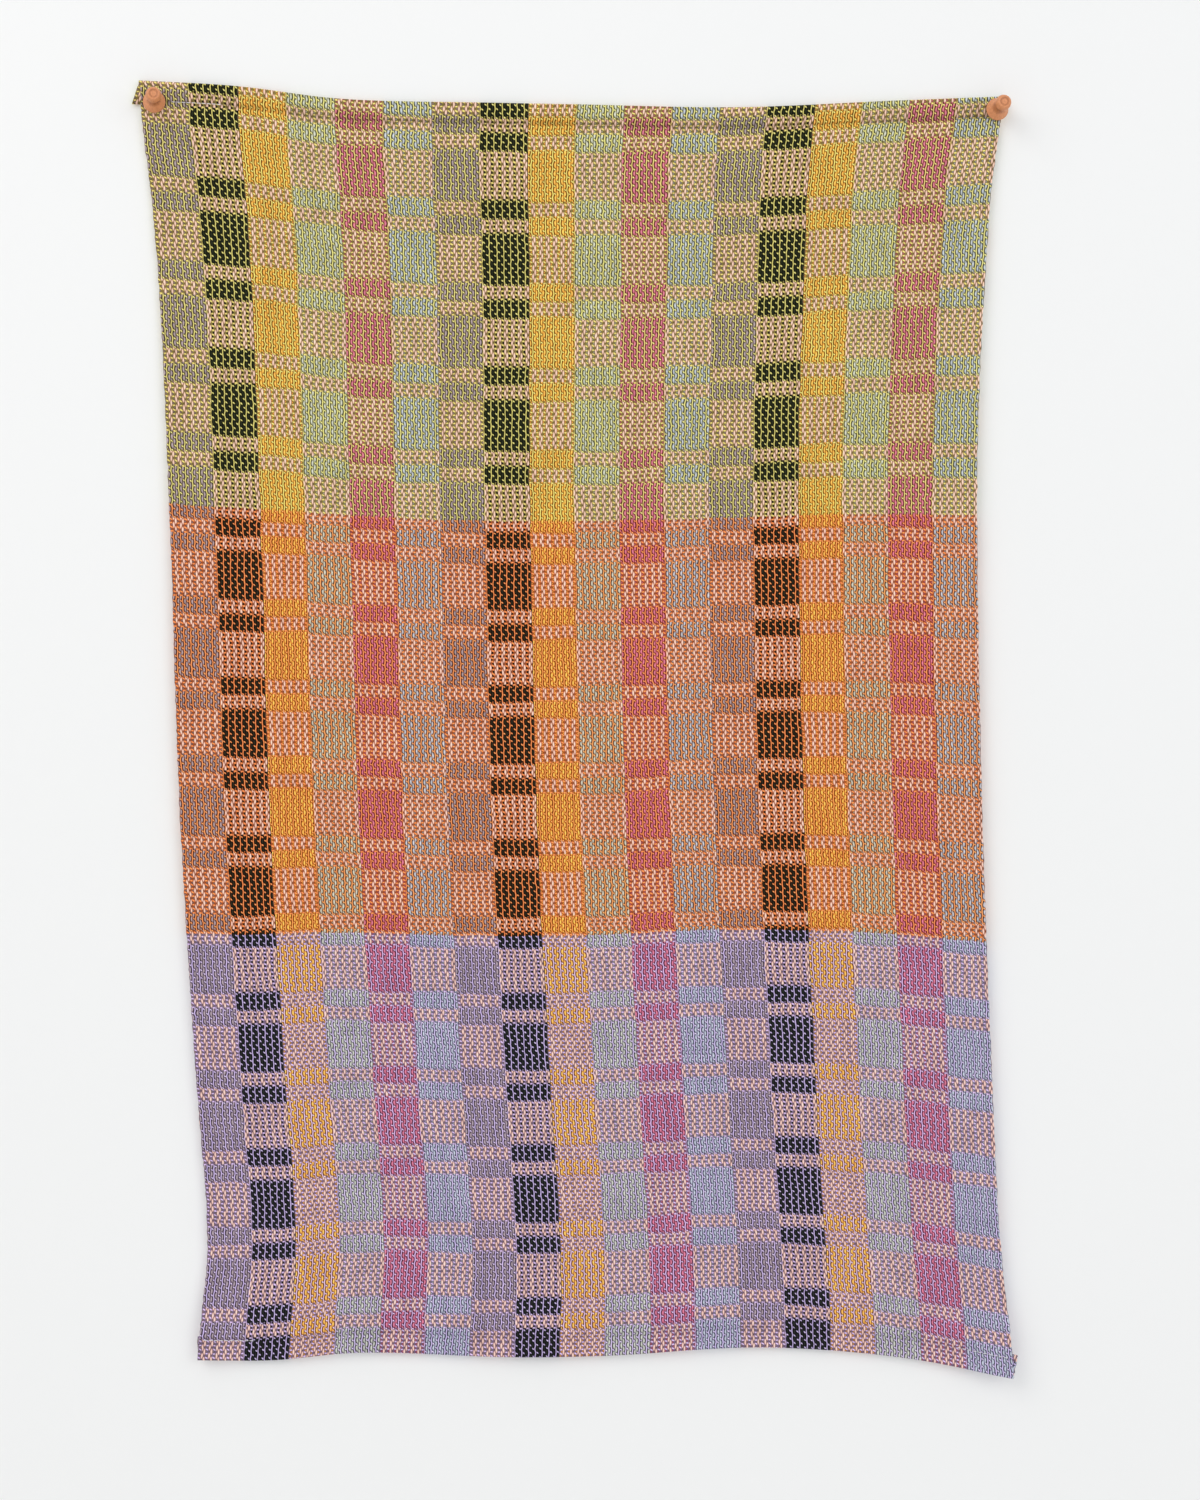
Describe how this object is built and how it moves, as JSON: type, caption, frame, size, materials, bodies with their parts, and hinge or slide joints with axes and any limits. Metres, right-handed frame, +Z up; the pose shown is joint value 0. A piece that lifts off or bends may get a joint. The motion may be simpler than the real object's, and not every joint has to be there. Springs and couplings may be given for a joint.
{
  "type": "woven wall hanging",
  "caption": "Handwoven block-weave cloth with sewn top and bottom hems, hung flat on a wall by turned wooden push pins at its top corners.",
  "frame": {"origin": "on the flat back of the top hem, half way along it and half way down it, where it lies on the wall", "axes": "+Z up, +X to the right as seen from the room, +Y into the wall, so the cloth faces -Y"},
  "size_m": [0.5182, 0.031, 0.7702],
  "materials": {
    "woven_cloth": "matt block weave in coloured cotton",
    "sewing_thread": "spun polyester thread, soft sheen",
    "turned_wood": "turned and lightly oiled",
    "needle_steel": "bright drawn wire"
  },
  "bodies": {
    "pinned_band": {"top_hem": "woven_cloth", "top_hem_needle_thread": "sewing_thread", "top_hem_bobbin_thread": "sewing_thread"},
    "hanging_cloth": {"woven_panel": "woven_cloth", "bottom_hem": "woven_cloth", "bottom_hem_needle_thread": "sewing_thread", "bottom_hem_bobbin_thread": "sewing_thread"},
    "left_pin": {"left_pin_head": "turned_wood", "left_pin_needle": "needle_steel"},
    "right_pin": {"right_pin_head": "turned_wood", "right_pin_needle": "needle_steel"}
  },
  "joints": [
    {"name": "cloth_lift", "type": "hinge", "parent": "pinned_band", "child": "hanging_cloth", "pos_m": [0, -0.0033, -0.0105], "axis": [-1, 0, 0], "range_deg": [0, 90]},
    {"name": "left_pin_pull", "type": "slide", "parent": "pinned_band", "child": "left_pin", "axis": [0.139, -0.9889, 0.0523], "range_m": [0, 0.014]},
    {"name": "right_pin_pull", "type": "slide", "parent": "pinned_band", "child": "right_pin", "axis": [0.1045, -0.9939, 0.0349], "range_m": [0, 0.014]}
  ]
}
